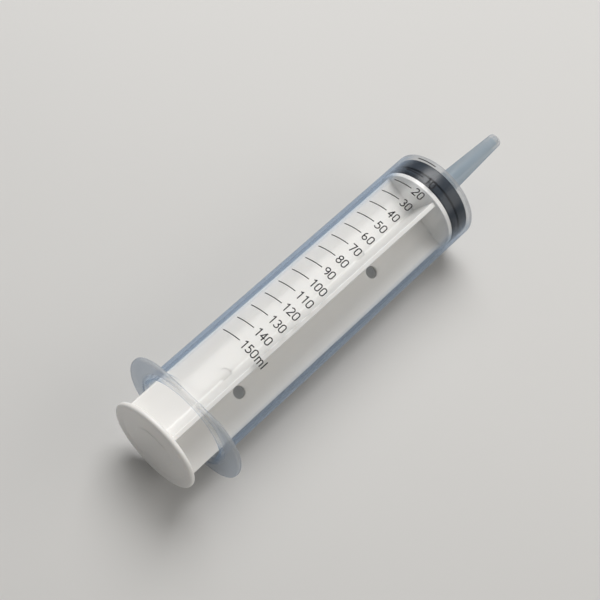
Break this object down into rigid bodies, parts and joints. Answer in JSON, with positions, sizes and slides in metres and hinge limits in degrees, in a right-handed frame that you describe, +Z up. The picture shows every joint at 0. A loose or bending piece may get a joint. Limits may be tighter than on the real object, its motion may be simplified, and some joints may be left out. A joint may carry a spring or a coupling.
{
  "type": "catheter-tip oral syringe",
  "caption": "Large clear oral syringe lying down, with a finger flange, a long tapered nozzle, a printed scale and a white cross-shaped plunger with a rubber stopper.",
  "frame": {"origin": "on the table under the middle of the lying syringe", "axes": "+Z up from the table; +X along the syringe towards its nozzle, with the syringe's own axis dipping by 0.38 degrees because it rests on a flat of its flange and on the front edge of its barrel"},
  "size_m": [0.2142, 0.0608, 0.0448],
  "materials": {
    "clear_plastic": "clear, slightly milky, glossy",
    "white_plastic": "white, satin",
    "rubber": "dark, smooth",
    "ink": "thin printed ink"
  },
  "bodies": {
    "barrel": {"barrel": "clear_plastic", "scale_lines": "ink", "scale_numerals": "ink"},
    "stopper": {"stopper": "rubber"},
    "plunger_rod": {"plunger_rod": "white_plastic"}
  },
  "joints": [
    {"name": "plunger_slide", "type": "slide", "parent": "barrel", "child": "stopper", "axis": [-1, 0, 0.0066], "range_m": [0, 0.132]},
    {"name": "rod_spin", "type": "hinge", "parent": "stopper", "child": "plunger_rod", "pos_m": [0.05646, 0, 0.02144], "axis": [1, 0, -0.0066], "continuous": true}
  ]
}
